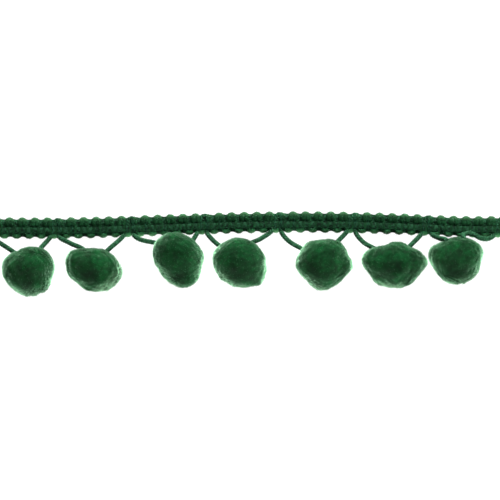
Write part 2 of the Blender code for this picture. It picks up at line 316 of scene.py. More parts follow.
# The rows of the ground's ring, from its top edge over its face to its bottom edge and back below.
# "across" is a share of the half width.
GroundRow = namedtuple("GroundRow", "across height")
GROUND = [
    GroundRow(1.00, 0.40),
    GroundRow(0.94, 0.90),
    GroundRow(0.60, 1.22),
    GroundRow(0.36, 1.22),
    GroundRow(0.23, 1.02),
    GroundRow(0.12, 1.50),
    GroundRow(-0.10, 1.69),
    GroundRow(-0.45, 1.69),
    GroundRow(-0.60, 1.58),
    GroundRow(-0.78, 1.50),
    GroundRow(-0.95, 1.15),
    GroundRow(-1.00, 0.50),
    GroundRow(-0.98, 0.00),
    GroundRow(0.98, 0.00),
]
GROUND_PAST = {"top": 0.08, "bottom": -0.12}  # past the half width
GROUND_SWELL = 0.30
GROUND_INSET = 0.05  # from the braid's ends
GROUND_COLUMNS = 8  # to a bump

# The cord where it runs in the braid.
FOOT_HEIGHT = 0.85
HAIRPIN_HEIGHT = 0.80  # of its axis under the weft
HAIRPIN_INSET = 0.55  # of its axis from the braid's top edge

# Lint, the fine loose hairs on the yarns.
BRAID_LINT = 40000  # hairs, before most of those away from the edges are left out
EDGE_LINT = 2.9  # from the middle line, where none is left out
EDGE_LINT_POWER = 4
CORD_LINT = 2500
LINT_FROM = 0.35  # height above which yarns have any
LINT_LENGTH = 0.42
LINT_LENGTHS = (0.4, 1.3)  # shares of it
LINT_SCATTER = 0.9  # from straight out
LINT_WIDTH = 0.05
LEAST_HEIGHT = 0.02  # of lint and cord off the table

# ---------------------------------------------------------------- sizes of the stage

FRAME_WIDTH = 144.0  # across the picture, at the height of LOOK_HEIGHT
LOOK_AT = (1.87, 1.12)
LOOK_HEIGHT = 4.0
CAMERA_HEIGHT = 1200.0
SENSOR = 36.0
NEAREST_SEEN = 0.05  # metres
FARTHEST_SEEN = 20.0

FLOOR_REACH = 2000.0
FLOOR_DROP = 0.05
WORLD_LIGHT = 0.37

# Soft lamps turned to the trim. Places and sizes are in metres, and "power" is in watts.
Lamp = namedtuple("Lamp", "name place width height power")
LAMPS = [
    Lamp("key", (0.28, 0.90, 0.42), 0.5, 0.5, 50.0),
    Lamp("rim", (0.12, -0.96, 0.055), 1.3, 0.4, 73.0),
]


# ---------------------------------------------------------------- curves


def unit(vectors):
    return vectors / np.linalg.norm(vectors, axis=-1, keepdims=True)


def gone_along(places):
    """How far along its line each place is."""
    return np.concatenate([[0.0], np.cumsum(np.linalg.norm(np.diff(places, axis=0), axis=1))])


def between(t, start, end, leaving, arriving):
    """The place at t, from 0 to 1, on a cubic curve with these slopes at its two ends."""
    near = (1 + 2 * t) * (1 - t) ** 2 * start + t * (1 - t) ** 2 * leaving
    far = t**2 * (3 - 2 * t) * end + t**2 * (t - 1) * arriving
    return near + far


def smooth_route(points, step):
    """A smooth curve through the points, read off at even steps."""
    points = np.asarray(points, dtype=float)
    ends = np.vstack([points[0] * 2 - points[1], points, points[-1] * 2 - points[-2]])
    places = []
    for a, b, c, d in zip(ends, ends[1:], ends[2:], ends[3:]):
        reach = np.linalg.norm(c - b)
        leaving = unit(c - a) * reach
        arriving = unit(d - b) * reach
        pieces = max(2, round(reach / (step / 2)))
        places += [between(k / pieces, b, c, leaving, arriving) for k in range(pieces)]
    places = np.array([*places, points[-1]])
    gone = gone_along(places)
    marks = np.linspace(0.0, gone[-1], round(gone[-1] / step) + 1)
    return np.stack([np.interp(marks, gone, column) for column in places.T], axis=1)


def spine_y(x):
    """The braid's middle line: a smooth curve through SPINE."""
    xs = np.array([place.x for place in SPINE])
    ys = np.array([place.y for place in SPINE])
    slopes = np.gradient(ys, xs)
    i = np.clip(np.searchsorted(xs, x) - 1, 0, len(xs) - 2)
    span = xs[i + 1] - xs[i]
    t = (x - xs[i]) / span
    return between(t, ys[i], ys[i + 1], span * slopes[i], span * slopes[i + 1])


def uneven(field, pompom, directions, seed=0):
    """A smooth uneven number in each direction, of about 1 each way: waves in scattered ways."""
    random = np.random.default_rng(SPIN_SEED * pompom.spin + field.seed + seed)
    ways = random.normal(size=(FIELD_WAVES, 3))
    phases = random.uniform(0.0, 2 * math.pi, FIELD_WAVES)
    waves = np.sin((directions * field.waves) @ ways.T + phases)
    return waves.sum(axis=1) / math.sqrt(FIELD_WAVES / 2)


def uneven_ways(field, pompom, directions):
    """A smooth uneven vector in each direction."""
    seeds = [AXIS_SEED * axis for axis in range(3)]
    return np.stack([uneven(field, pompom, directions, seed) for seed in seeds], axis=1)


# ---------------------------------------------------------------- meshes

# A mesh in arrays. "faces" is a list of arrays, and in each array every face has the same number
# of corners. "fields" has arrays of one number for each vertex.
Shape = namedtuple("Shape", "vertices faces fields")


def mesh_object(name, shape, material, normals=None):
    """Makes a shape an object. "normals" are one for each vertex, where they aren't its own."""
    counts = np.concatenate([np.full(len(group), group.shape[1]) for group in shape.faces])
    corners = np.concatenate([group.ravel() for group in shape.faces])
    starts = np.concatenate([[0], np.cumsum(counts)[:-1]])
    mesh = bpy.data.meshes.new(name)
    mesh.vertices.add(len(shape.vertices))
    mesh.vertices.foreach_set("co", (shape.vertices * MM).astype(np.float32).ravel())
    mesh.loops.add(len(corners))
    mesh.loops.foreach_set("vertex_index", corners.astype(np.int32))
    mesh.polygons.add(len(counts))
    mesh.polygons.foreach_set("loop_start", starts.astype(np.int32))
    mesh.polygons.foreach_set("use_smooth", np.full(len(counts), True))
    mesh.materials.append(material)
    for field, values in shape.fields.items():
        mesh.attributes.new(field, "FLOAT", "POINT").data.foreach_set("value", values)
    mesh.update()
    mesh.validate()
    if normals is not None:
        mesh.normals_split_custom_set_from_vertices(normals.tolist())
    obj = bpy.data.objects.new(name, mesh)
    bpy.context.scene.collection.objects.link(obj)
    return obj


def dress(obj, slot, *nodes):
    """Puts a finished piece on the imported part, in place of these nodes."""
    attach(obj, ROOT)
    if nodes:
        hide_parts(*nodes)


def joined(shapes):
    """One shape from several that have the same kinds of faces and fields."""
    starts = np.cumsum([0, *[len(shape.vertices) for shape in shapes[:-1]]])
    moved = [[group + start for group in shape.faces] for shape, start in zip(shapes, starts)]
    fields = {
        name: np.concatenate([shape.fields[name] for shape in shapes]) for name in shapes[0].fields
    }
    vertices = np.vstack([shape.vertices for shape in shapes])
    return Shape(vertices, [np.vstack(kind) for kind in zip(*moved)], fields)


def lift(vertices, least):
    """Raises to the least height what lies lower."""
    vertices[:, 2] = np.maximum(vertices[:, 2], least)


def tube_corners(rings, sides):
    """The numbers of a tube's corners, but for its last ring's, and of their neighbours round it."""
    ring, side = np.meshgrid(np.arange(rings - 1), np.arange(sides), indexing="ij")
    return ring * sides + side, ring * sides + (side + 1) % sides


def plied_yarn(route, yarn, radius=None):
    """A yarn along a route, with its plies raised round it and closed ends. "radius" has one
    for each point, where it isn't the yarn's own."""
    if radius is None:
        radius = np.full(len(route), yarn.radius)
    tangents = unit(np.gradient(route, axis=0))
    aside = unit(np.cross(tangents, [0.0, 0.0, 1.0]))
    over = np.cross(aside, tangents)
    gone = gone_along(route)
    around = np.arange(yarn.sides) / yarn.sides
    angles = 2 * math.pi * around
    turn = 2 * math.pi * gone / yarn.lay
    ripple = np.abs(np.cos(yarn.plies / 2 * (angles[None, :] - turn[:, None])))
    reach = radius[:, None] * (1 - yarn.groove + yarn.groove * ripple)
    rings = (
        route[:, None, :]
        + (reach * np.cos(angles))[:, :, None] * aside[:, None, :]
        + (reach * np.sin(angles) * yarn.flat)[:, :, None] * over[:, None, :]
    )
    count, sides = len(route), yarn.sides
    vertices = np.vstack([rings.reshape(-1, 3), route[0], route[-1]])
    here, beside = tube_corners(count, sides)
    quads = np.stack([here, beside, beside + sides, here + sides], axis=-1).reshape(-1, 4)
    first = np.arange(sides)
    second = (first + 1) % sides
    middle = np.full(sides, count * sides)
    last = (count - 1) * sides
    caps = [[middle, second, first], [middle + 1, last + first, last + second]]
    triangles = np.vstack([np.stack(cap, axis=1) for cap in caps])
    # The last two values of each are for the middles of its ends.
    fields = {
        "along": np.concatenate([np.repeat(gone, sides), [0.0, gone[-1]]]),
        "around": np.concatenate([np.tile(around, count), [0.0, 0.0]]),
        "raised": np.concatenate([ripple.ravel(), [0.5, 0.5]]),
    }
    return Shape(vertices, [quads, triangles], fields)


SPIKE_FACES = np.array([[0, 1, 3], [1, 2, 3], [2, 0, 3]])
SPIKE_OUTWARD = (0.0, 0.0, 0.0, 1.0)  # how far out its corners are: three at its root, and its tip
SPIKE_CORNERS = len(SPIKE_OUTWARD)


def spikes(roots, tips, widths, random):
    """The vertices and faces of three-sided spikes."""
    count = len(roots)
    axis = unit(tips - roots)
    across = unit(np.cross(axis, random.normal(size=(count, 3))))
    over = np.cross(axis, across)
    corners = []
    for k in range(3):
        angle = 2 * math.pi * k / 3
        way = across * math.cos(angle) + over * math.sin(angle)
        corners.append(roots + way * widths[:, None] / 2)
    vertices = np.stack([*corners, tips], axis=1).reshape(-1, 3)
    starts = SPIKE_CORNERS * np.arange(count)
    return vertices, (SPIKE_FACES + starts[:, None, None]).reshape(-1, 3)


# A yarn in its place, for its lint.
Laid = namedtuple("Laid", "route vertices sides")


def make_lint(name, slot, material, yarns, count, edged=False):
    """Fine loose hairs all over some yarns, or most of them at the braid's edges."""
    random = np.random.default_rng(count)
    roots, ways = [], []
    share = count / sum(len(yarn.route) for yarn in yarns)
    for route, vertices, sides in yarns:
        picks = random.integers(0, len(route) * sides, round(share * len(route)))
        picks = picks[vertices[picks, 2] > LINT_FROM]
        if edged:
            out = np.abs(vertices[picks, 1] - spine_y(vertices[picks, 0])) / EDGE_LINT
            picks = picks[random.uniform(0.0, 1.0, len(picks)) < out**EDGE_LINT_POWER]
        roots.append(vertices[picks])
        ways.append(unit(vertices[picks] - route[picks // sides]))
    roots, ways = np.vstack(roots), np.vstack(ways)
    lengths = LINT_LENGTH * random.uniform(*LINT_LENGTHS, len(roots))
    tips = roots + unit(ways + LINT_SCATTER * random.normal(size=roots.shape)) * lengths[:, None]
    vertices, faces = spikes(roots, tips, np.full(len(roots), LINT_WIDTH), random)
    lift(vertices, LEAST_HEIGHT)
    dress(mesh_object(name, Shape(vertices, [faces], {}), material), slot)


# ---------------------------------------------------------------- materials

MIX_INPUTS = (0, 6, 7)  # of a node that mixes colours: the share and the two colours
MIX_RESULT = 2


class Nodes:
    """A short hand for a material's nodes."""

    def __init__(self, name):
        self.material = bpy.data.materials.new(name)
        self.material.use_nodes = True
        self.tree = self.material.node_tree
        self.shader = self.tree.nodes["Principled BSDF"]

    def node(self, kind, inputs, **settings):
        node = self.tree.nodes.new("ShaderNode" + kind)
        for name, value in settings.items():
            setattr(node, name, value)
        for socket, value in inputs.items():
            if isinstance(value, bpy.types.NodeSocket):
                self.tree.links.new(value, node.inputs[socket])
            else:
                node.inputs[socket].default_value = value
        return node

    def field(self, name):
        return self.node("Attribute", {}, attribute_name=name).outputs["Fac"]

    def places(self):
        return self.node("TexCoord", {}).outputs["Object"]

    def noise(self, places, noise):
        inputs = {"Scale": noise.scale, "Detail": noise.detail, "Roughness": noise.roughness}
        return self.node("TexNoise", {"Vector": places, **inputs}).outputs["Fac"]

    def times(self, a, b):
        return self.node("Math", {0: a, 1: b}, operation="MULTIPLY").outputs[0]

    def plus(self, a, b):
        return self.node("Math", {0: a, 1: b}, operation="ADD").outputs[0]

    def spread(self, value, target, source=(0.0, 1.0)):
        """A number moved from the source's range to the target's."""
        inputs = {"Value": value, 1: source[0], 2: source[1], 3: target[0], 4: target[1]}
        return self.node("MapRange", inputs).outputs[0]

    def grey(self, value):
        return self.node("CombineColor", {0: value, 1: value, 2: value}).outputs[0]

    def ramp(self, value, stops):
        node = self.node("ValToRGB", {"Fac": value})
        elements = node.color_ramp.elements
        while len(elements) < len(stops):
            elements.new(0.5)
        for element, (position, colour) in zip(elements, stops):
            element.position = position
            element.color = (*colour, 1.0)
        return node.outputs["Color"]

    def mix(self, share, a, b, blend="MIX"):
        """A mix of two colours. The second may be given as plain numbers."""
        b = b if isinstance(b, bpy.types.NodeSocket) else (*b, 1.0)
        inputs = dict(zip(MIX_INPUTS, (share, a, b)))
        return self.node("Mix", inputs, data_type="RGBA", blend_type=blend).outputs[MIX_RESULT]

    def shaded(self, colour, value):
        """A colour multiplied by a number."""
        return self.mix(1.0, colour, self.grey(value), "MULTIPLY")

    def bump(self, height, strength, distance):
        inputs = {"Height": height, "Strength": strength, "Distance": distance}
        self.connect(self.node("Bump", inputs).outputs["Normal"], "Normal")

    def connect(self, value, socket):
        self.tree.links.new(value, self.shader.inputs[socket])

    def set(self, **values):
        for name, value in values.items():
            self.shader.inputs[name.replace("_", " ")].default_value = value


# Noise through the trim. "scale" is in features to a metre, but for the strands in features to
# each unit along and around the yarn.
Noise = namedtuple("Noise", "scale detail roughness")
NOISE_BAND = (0.3, 0.7)  # in which nearly all of a noise lies
LINT_TONES = Noise(900.0, 1.0, 0.5)
PILE_PATCHES = Noise(300.0, 3.0, 0.6)
PILE_MOTTLES = Noise(900.0, 2.0, 0.6)
YARN_STRANDS = Noise(1.6, 3.0, 0.7)
YARN_PATCHES = Noise(420.0, 2.0, 0.6)
YARN_SPECKS = Noise(1700.0, 2.0, 0.6)
GROUND_LOOPS = Noise(1500.0, 2.0, 0.6)
PAPER_GRAIN = Noise(60.0, 3.0, 0.5)

LINT_STOPS = [(0.3, (0.02, 0.09, 0.04)), (0.7, (0.15, 0.36, 0.21))]


def lint_material():
    nodes = Nodes("gimp_lint")
    tones = nodes.noise(nodes.places(), LINT_TONES)
    nodes.connect(nodes.ramp(tones, LINT_STOPS), "Base Color")
    nodes.set(Roughness=0.9, Specular_IOR_Level=0.1)
    return nodes.material


# The pile's colour from its roots to its tips: darker towards the roots as painted shade deep in the
# pile.
PILE_STOPS = [
    (0.0, (0.0006, 0.0080, 0.0020)),
    (0.5, (0.0010, 0.0205, 0.0048)),
    (1.0, (0.0020, 0.0400, 0.0098)),
]
# Pale frayed pile on the loose side, partly painted light on the rim.
PILE_FRAYED_AND_LIT = (0.1800, 0.3100, 0.1900)
PILE_SHEEN = (0.45, 0.87, 0.54, 1.0)
PILE_ROUGHNESS = (0.8, 1.0)
FRAYED_SHOWING = (0.3, 1.0)  # how much of a fibre's fraying shows, from its root to its tip

# What the pile's colour is multiplied by, from one end of each range to the other.
PATCH_SHADES = (0.5, 1.5)
MOTTLE_SHADES = (0.60, 1.45)
OWN_SHADES = (0.7, 1.2)
# The last is painted shade on one side of each pompom.
PAINTED_SHADE_RANGE = (1.0, 0.45)


def pile_material():
    """Cut pile: bottle green with velvet's sheen, painted shade towards the roots and on one side, and
    paler where it frays, partly painted light.
    """
    nodes = Nodes("cut_pile")
    places = nodes.places()
    outward = nodes.field("outward")
    # Painted shade: darker towards the roots.
    colour = nodes.ramp(outward, PILE_STOPS)
    # Paler where it frays: partly frayed pile, partly painted light on the rim.
    frayed = nodes.times(nodes.field("frayed"), nodes.spread(outward, FRAYED_SHOWING))
    colour = nodes.mix(frayed, colour, PILE_FRAYED_AND_LIT)
    patches = nodes.noise(places, PILE_PATCHES)
    mottles = nodes.noise(places, PILE_MOTTLES)
    light = nodes.spread(patches, PATCH_SHADES, NOISE_BAND)
    # Painted shade on one side of each pompom.
    light = nodes.times(light, nodes.spread(nodes.field("painted_shade"), PAINTED_SHADE_RANGE))
    own = nodes.spread(nodes.field("own"), OWN_SHADES)
    own = nodes.times(own, nodes.spread(mottles, MOTTLE_SHADES, NOISE_BAND))
    nodes.connect(nodes.shaded(colour, nodes.times(light, own)), "Base Color")
    nodes.connect(nodes.spread(patches, PILE_ROUGHNESS, NOISE_BAND), "Roughness")
    nodes.set(Specular_IOR_Level=0.05, Sheen_Weight=1.0, Sheen_Roughness=0.37, Sheen_Tint=PILE_SHEEN)
    return nodes.material


# A yarn's colours between its plies and on them, and that of its palest fibres. The plies' rise picks
# between them: painted shade in the grooves, painted highlight on the crests.
Colours = namedtuple("Colours", "groove ply fleck")
WEFT_COLOURS = Colours((0.0008, 0.0062, 0.0022), (0.0030, 0.0225, 0.0074), (0.0140, 0.0560, 0.0260))
STITCH_COLOURS = Colours((0.0008, 0.0062, 0.0024), (0.0026, 0.0170, 0.0064), (0.0100, 0.0400, 0.0190))
TIE_COLOURS = Colours((0.0014, 0.0120, 0.0050), (0.0060, 0.0380, 0.0180), (0.0500, 0.1400, 0.0850))
CORD_COLOURS = Colours((0.0010, 0.0070, 0.0028), (0.0052, 0.0310, 0.0125), (0.0360, 0.1100, 0.0560))
COLOUR_STOPS = (0.15, 0.75, 1.0)
RAISED_SHARE = 0.45  # how much of the colour comes from the plies' rise, as painted shade and highlight, and how much from the strands
STRANDS_SHARE = 0.75
STRANDS_ALONG = 0.8  # units of the strands' noise, for each millimetre along and each turn around
STRANDS_AROUND = 22.0
STRANDS_BUMP = 0.5
STRANDS_RISE = 0.00006  # metres
YARN_PATCH_SHADES = (0.7, 1.3)
YARN_SPECK_SHADES = (0.45, 1.60)
YARN_ROUGHNESS = (0.7, 0.9)

EDGE_FLECK = (0.0700, 0.1900, 0.0800)  # of the weft's rubbed fibres, at the bottom edge partly painted light
RUBBED_STRANDS = (0.35, 0.65)  # the strands from the least rubbed to the most
RUBBED_SHOWING = (0.25, 1.0)


def yarn_material(name, colours):
    """Wrapped yarn: fine fibres that run round with the plies, with painted shade in the grooves and
    painted highlight on the crests, painted light and shade across a braid, and pale where rubbed at its
    edge, partly painted light."""
    nodes = Nodes(name)
    run = nodes.times(nodes.field("along"), STRANDS_ALONG)
    turn = nodes.times(nodes.field("around"), STRANDS_AROUND)
    fibres = nodes.node("CombineXYZ", {0: run, 1: turn, 2: 0.0}).outputs[0]
    strands = nodes.noise(fibres, YARN_STRANDS)
    places = nodes.places()
    # The plies' rise: painted shade in the grooves and painted highlight on the crests.
    raised = nodes.times(nodes.field("raised"), RAISED_SHARE)
    shade = nodes.plus(raised, nodes.times(strands, STRANDS_SHARE))
    colour = nodes.ramp(shade, list(zip(COLOUR_STOPS, colours)))
    patches = nodes.noise(places, YARN_PATCHES)
    colour = nodes.shaded(colour, nodes.spread(patches, YARN_PATCH_SHADES, NOISE_BAND))
    specks = nodes.noise(places, YARN_SPECKS)
    specks = nodes.spread(specks, YARN_SPECK_SHADES, NOISE_BAND)
    # Painted light and shade across a braid.
    light = nodes.plus(nodes.field("painted_light_and_shade"), 1.0)
    colour = nodes.shaded(colour, nodes.times(light, specks))
    rubbed_and_lit = nodes.spread(strands, RUBBED_SHOWING, RUBBED_STRANDS)
    # Pale rubbed fibres at a braid's edge, at the bottom edge partly painted light.
    colour = nodes.mix(nodes.times(nodes.field("rubbed_and_lit"), rubbed_and_lit), colour, EDGE_FLECK)
    nodes.connect(colour, "Base Color")
    nodes.connect(nodes.spread(strands, YARN_ROUGHNESS, NOISE_BAND), "Roughness")
    nodes.bump(strands, STRANDS_BUMP, STRANDS_RISE)
    nodes.set(Specular_IOR_Level=0.04)
    return nodes.material


GROUND_STOPS = [(0.38, (0.0006, 0.0045, 0.0018)), (0.62, (0.0078, 0.0370, 0.0165))]
GROUND_ROUGHNESS = (0.8, 0.95)
GROUND_BUMP = 0.6
GROUND_RISE = 0.0001  # metres


def ground_material():
    """The knitted ground between and behind the weft."""
    nodes = Nodes("gimp_ground")
    loops = nodes.noise(nodes.places(), GROUND_LOOPS)
    nodes.connect(nodes.ramp(loops, GROUND_STOPS), "Base Color")
    nodes.connect(nodes.spread(loops, GROUND_ROUGHNESS, NOISE_BAND), "Roughness")
    nodes.bump(loops, GROUND_BUMP, GROUND_RISE)
    nodes.set(Specular_IOR_Level=0.05)
    return nodes.material


WHITE = (1.0, 1.0, 1.0, 1.0)
FLOOR_GLOW = 0.99  # of a table lit from under, which leaves no shadows
FLOOR_PALENESS = (0.10, 0.12)  # of its glass, which takes little light from above


def floor_material():
    nodes = Nodes("floor_paper")
    grain = nodes.noise(nodes.places(), PAPER_GRAIN)
    nodes.connect(nodes.grey(nodes.spread(grain, FLOOR_PALENESS)), "Base Color")
    nodes.set(Roughness=0.9, Specular_IOR_Level=0.0)
    nodes.set(Emission_Strength=FLOOR_GLOW, Emission_Color=WHITE)
    return nodes.material


# ---------------------------------------------------------------- braid


def bump(x, edge):
    """How far one turn of the weft has swelled at x: 0 in the notches and 1 at its crown."""
    phase = FIRST_JUNCTION + BUMP_PHASE + (BUMP_PITCH / 2 if edge == "bottom" else 0.0)
    return np.abs(np.cos(math.pi * (x - phase) / BUMP_PITCH)) ** BUMP_ROUNDNESS


# A turn's crown, with its first half and its spread and radius as shares of a fat turn's.
Crown = namedtuple("Crown", "x half spread radius")


def crowns():
    """The weft's turns from left to right, at the top edge and the bottom edge by turns."""
    found = []
    for junction in range(-1, JUNCTIONS):
        start = FIRST_JUNCTION + junction * JUNCTION_PITCH
        fat = [start + FAT_FIRST + k * FAT_PITCH for k in range(FAT_TURNS)]
        tops = [Crown(start + NARROW_TURN, TOP_TURN, NARROW_SPREAD, NARROW_RADIUS)]
        tops += [Crown(x, TOP_TURN, 1.0, 1.0) for x in fat]
        for k, top in enumerate(tops):
            bottom = start + BOTTOM_FIRST + k * BUMP_PITCH
            found += [top, Crown(bottom, BOTTOM_TURN, 1.0, 1.0)]
    return found


def weft_route():
    """The thick weft's axis between the braid's two cut ends, and its radius along it."""
    points = []
    for crown in crowns():
        half = crown.half
        turns = [(crown.x - turn.along * crown.spread, turn) for turn in half]
        turns += [(crown.x + turn.along * crown.spread, turn) for turn in half[-2::-1]]
        points += [
            (x, spine_y(x) + turn.across, turn.height, WEFT.radius * crown.radius)
            for x, turn in turns
            if BRAID_LEFT + WEFT.radius < x < BRAID_RIGHT - WEFT.radius
        ]
    route = smooth_route(points, WEFT_STEP)
    return route[:, :3], route[:, 3]


def make_weft(lint_green):
    """The thick weft, paler at its turns from rubbing and at the bottom edge from painted light, with
    painted light and shade across the braid, and lint on them.
    """
    route, radius = weft_route()
    shape = plied_yarn(route, WEFT, radius)
    across = shape.vertices[:, 1] - spine_y(shape.vertices[:, 0])
    # Pale rubbed fibres at the edges; the bottom edge's extra paleness is painted light.
    wear_and_light = np.where(across > 0, TOP_WEAR_AND_LIGHT, 1.0)
    rubbed_and_lit = np.clip((np.abs(across) - RUBBED_FROM) / RUBBED_OVER, 0.0, 1.0)
    shape.fields["rubbed_and_lit"] = wear_and_light * rubbed_and_lit
    # Painted light and shade across the braid.
    places, shares = zip(*WEFT_SHADES)
    shape.fields["painted_light_and_shade"] = np.interp(across, places, shares) - 1.0
    weft = mesh_object("braid_weft", shape, yarn_material("gimp_weft", WEFT_COLOURS))
    dress(weft, "gimp_braid", "braid")
    laid = Laid(route, shape.vertices, WEFT.sides)
    make_lint("braid_lint", "gimp_braid", lint_green, [laid], BRAID_LINT, edged=True)


def make_stitches():
    """The two rows of chain stitches along the braid."""
    x = np.arange(BRAID_LEFT + STITCH_INSET, BRAID_RIGHT - STITCH_INSET, STITCH_STEP)
    turn = math.pi * x / (BUMP_PITCH / 2)
    threads = []
    for row in STITCH_ROWS:
        for side in (1, -1):
            y = spine_y(x) + row.across + STITCH_SWING * side * np.sin(turn)
            z = row.height + STITCH_LIFT * side * np.cos(turn)
            threads.append(plied_yarn(np.stack([x, y, z], axis=1), STITCH))
    material = yarn_material("gimp_stitch", STITCH_COLOURS)
    dress(mesh_object("braid_stitches", joined(threads), material), "gimp_braid")


def make_ties():
    """The fine threads that bind the cord in at each junction."""
    random = np.random.default_rng(TIE_SEED)
    across = np.linspace(*TIE_SPAN, TIE_POINTS)
    dip = TIE_DIP * np.exp(-(((across - TIE_DIP_AT) / TIE_DIP_WIDTH) ** 2))
    height = TIE_HEIGHT - TIE_ARCH * across**2 - dip
    threads = []
    for junction in range(JUNCTIONS):
        for offset in TIES:
            x = FIRST_JUNCTION + junction * JUNCTION_PITCH + offset
            if BRAID_LEFT + TIE_MARGIN < x < BRAID_RIGHT - TIE_MARGIN:
                xs = x + random.uniform(-TIE_WANDER, TIE_WANDER, TIE_POINTS)
                heights = height + random.uniform(-TIE_BOB, TIE_BOB, TIE_POINTS)
                line = np.stack([xs, spine_y(xs) + across, heights], axis=1)
                threads.append(plied_yarn(smooth_route(line, STITCH_STEP), TIE))
    material = yarn_material("gimp_tie", TIE_COLOURS)
    dress(mesh_object("braid_ties", joined(threads), material), "gimp_braid")


def make_ground():
    """The band that the weft lies on: a closed ring of rows, flat below."""
    columns = round((BRAID_RIGHT - BRAID_LEFT) / (BUMP_PITCH / GROUND_COLUMNS)) + 1
    xs = np.linspace(BRAID_LEFT + GROUND_INSET, BRAID_RIGHT - GROUND_INSET, columns)
    rows = []
    for row in GROUND:
        edge = "top" if row.across > 0 else "bottom"
        reach = HALF_WIDTH + GROUND_PAST[edge] + GROUND_SWELL * bump(xs, edge)
        heights = np.full(columns, row.height)
        rows.append(np.stack([xs, spine_y(xs) + row.across * reach, heights], axis=1))
    count = len(rows)
    vertices = np.stack(rows, axis=1).reshape(-1, 3)
    here, beside = tube_corners(columns, count)
    quads = np.stack([beside, beside + count, here + count, here], axis=-1).reshape(-1, 4)
    ring = np.arange(count)
    ends = np.array([ring, ring[::-1] + (columns - 1) * count])
    shape = Shape(vertices, [quads, ends], {})
    dress(mesh_object("braid_ground", shape, ground_material()), "gimp_braid")


# ---------------------------------------------------------------- cord


def turned(angle, dip):
    """The direction at an angle round +Z, that far below the horizontal, both in degrees."""
    angle, dip = math.radians(angle), math.radians(dip)
    level = math.cos(dip)
    return np.array([level * math.cos(angle), level * math.sin(angle), -math.sin(dip)])


def pompom_centre(pompom):
    return np.array([pompom.x, pompom.y, pompom.tall - FLAT_DEPTH])


def pompom_surface(pompom, directions):
    """The outside of the solid pompom in each direction, from its centre."""
    x, y, z = directions.T
    angle = np.arctan2(y, x)
    level = np.hypot(x, y)
    shapes = (
        (2, pompom.oval, pompom.oval_at),
        (3, pompom.egg, pompom.egg_at),
        (4, pompom.square, pompom.square_at),
        (5, pompom.five, pompom.five_at),
    )
    share = np.ones(len(directions))
    for count, amount, peak in shapes:
        share += amount * level**count * np.cos(count * (angle - math.radians(peak)))
    share += LUMP * np.sin(LUMP_WAVES * (LUMP_ACROSS * y + LUMP_UP * z) + pompom.spin)
    reach = directions * (pompom.radius * share)[:, None]
    reach[:, 2] *= pompom.tall / pompom.radius
    return reach


def socket(pompom, angle, dip):
    """The mouth and the inner end of a cord's way into the pile."""
    out = pompom_surface(pompom, turned(angle, dip)[None, :])[0]
    mouth = pompom_centre(pompom) + out
    return mouth, mouth - unit(out) * SOCKET_DEPTH


def foot(x):
    return (x, spine_y(x) - HALF_WIDTH + FOOT_INSET, FOOT_HEIGHT)


def turn_top(x):
    return np.array([x, spine_y(x) + HALF_WIDTH - HAIRPIN_INSET, HAIRPIN_HEIGHT])


def hairpin_points(number, hairpin):
    """The cord's axis from the pompom on its left, up through the braid, to the one on its right."""
    left, right = [], []
    if hairpin.left_way is not None:
        pompom = POMPOMS[number - 1]
        mouth, inner = socket(pompom, pompom.right, pompom.right_dip)
        left = [inner, mouth, *hairpin.left_way, foot(hairpin.left_foot)]
    if hairpin.right_way is not None:
        pompom = POMPOMS[number]
        mouth, inner = socket(pompom, pompom.left, pompom.left_dip)
        right = [foot(hairpin.right_foot), *hairpin.right_way, mouth, inner]
    left_top = turn_top(hairpin.left_top)
    right_top = turn_top(hairpin.right_top)
    crown = (left_top + right_top) / 2 + np.array([0.0, CORD_RADIUS, 0.0])
    return [*left, left_top, crown, right_top, *right]


def make_cords(routes, lint_green):
    """The plied cord, one piece for each hairpin, with its lint."""
    material = yarn_material("gimp_cord", CORD_COLOURS)
    laid = []
    for number, route in enumerate(routes):
        shape = plied_yarn(route, CORD)
        lift(shape.vertices, LEAST_HEIGHT)
        cord = mesh_object(f"cord_{number}", shape, material)
        dress(cord, "gimp_cord", f"cord_loop_{number}")
        laid.append(Laid(route, shape.vertices, CORD.sides))
    make_lint("cord_lint", "gimp_cord", lint_green, laid, CORD_LINT)


# ---------------------------------------------------------------- pompoms


def even_directions(count):
    """Directions spread evenly over a ball, on a spiral from its top to its bottom."""
    steps = np.arange(count) + 0.5
    height = 1 - 2 * steps / count
    angle = steps * math.pi * (3 - math.sqrt(5))
    level = np.sqrt(1 - height**2)
    return np.stack([level * np.cos(angle), level * np.sin(angle), height], axis=1)


def fine_ball():
    """A ball of radius 1, to be drawn out to each pompom's shape."""
    bm = bmesh.new()
    bmesh.ops.create_icosphere(bm, subdivisions=BALL_SUBDIVISIONS, radius=1.0)
    vertices = np.array([tuple(vert.co) for vert in bm.verts])
    faces = np.array([[vert.index for vert in face.verts] for face in bm.faces])
    bm.free()
    return Shape(unit(vertices), [faces], {})


def frayed_side(pompom, directions):
    """How near each direction is to the loose side of a pompom, from 0 to 1."""
    middle = turned(FRAYED_AT[POMPOMS.index(pompom)], FRAYED_DIP)
    return np.clip(FRAYED_GAIN * (directions @ middle) - FRAYED_LOSS, 0.0, 1.0)


def frayed_and_lit_places(pompom, directions):
    """How frayed and pale the pile is in each direction, from 0 to 1, partly painted light: in patches,
    on its loose side.
    """
    patches = FRAYED_MEAN + FRAYED_SWING * uneven(FRAYED_PATCHES, pompom, directions)
    return frayed_side(pompom, directions) * np.clip(patches, 0.0, 1.0)


